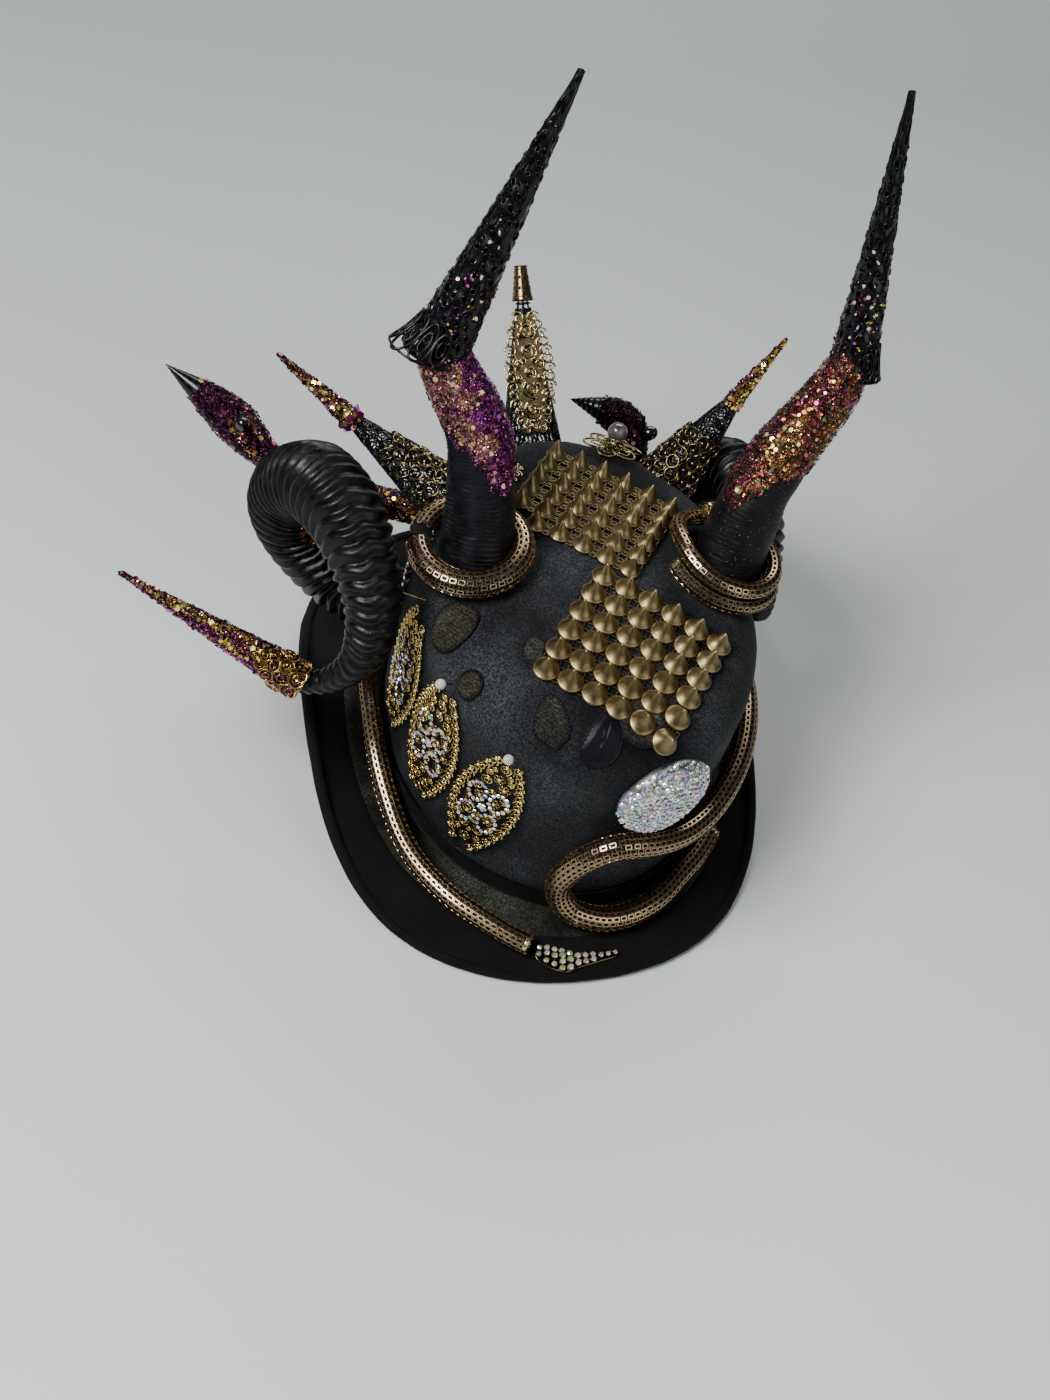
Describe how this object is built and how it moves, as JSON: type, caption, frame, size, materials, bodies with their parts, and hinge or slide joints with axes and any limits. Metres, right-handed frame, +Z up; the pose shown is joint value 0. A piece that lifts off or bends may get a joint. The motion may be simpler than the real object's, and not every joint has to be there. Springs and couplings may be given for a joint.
{
  "type": "top hat headpiece",
  "caption": "Black cloth top hat with two tall horns, two ram horns, filigree spikes, cone studs, gilt leaf brooches, crystals and mesh chains.",
  "frame": {"origin": "on the floor below the middle of the whole piece; the brim's front and back edges stand on the floor", "axes": "+Z up, the front of the hat faces -Y, +X is to the right as seen from the front"},
  "size_m": [0.3408, 0.3118, 0.3404],
  "materials": {
    "crown_cloth": "matt charcoal cloth with a fine sparkle",
    "brim_velvet": "black velvet and mottled grey cloth",
    "band_satin": "black satin",
    "wound_cord": "black wound cord and glitter",
    "ram_resin": "ribbed black, satin gloss",
    "glitter": "chunky pink, purple and gold glitter",
    "black_filigree": "black lacquered filigree",
    "gold_filigree": "gold plated",
    "antique_brass": "antique brass",
    "bronze_mesh": "bronze plated mesh",
    "crystal": "iridescent cut crystal",
    "pearl_bead": "pearl lustre"
  },
  "bodies": {
    "root": {"hat_crown": "crown_cloth", "hat_brim": "brim_velvet", "hat_band": "band_satin", "horn_left": "wound_cord", "horn_right": "wound_cord", "ram_horn_left": "ram_resin", "ram_horn_right": "ram_resin", "back_horn_left": "glitter", "back_horn_right": "glitter", "spike_glitter_left": "glitter", "spike_glitter_right": "glitter", "ram_tip": "glitter", "horn_cap_left": "black_filigree", "horn_cap_right": "black_filigree", "spike_metal_left": "black_filigree", "spike_metal_right": "black_filigree", "centre_spike": "black_filigree", "spike_rings_left": "gold_filigree", "spike_rings_right": "gold_filigree", "ram_tip_leaf": "gold_filigree", "centre_plate": "gold_filigree", "brooch_1": "gold_filigree", "brooch_2": "gold_filigree", "brooch_3": "gold_filigree", "gold_scroll": "gold_filigree", "crystal_brooch": "gold_filigree", "studs_upper": "antique_brass", "studs_lower": "antique_brass", "horn_ring_left": "bronze_mesh", "horn_ring_right": "bronze_mesh", "centre_bell": "bronze_mesh", "pearl_flower": "bronze_mesh", "chain_left": "bronze_mesh", "chain_right": "bronze_mesh", "back_stone_left": "crystal", "back_stone_right": "crystal", "crystal_pebble": "crystal", "chain_end": "crystal", "pearl": "pearl_bead", "pin_1": "pearl_bead", "pin_2": "pearl_bead", "pin_3": "pearl_bead"}
  },
  "joints": []
}
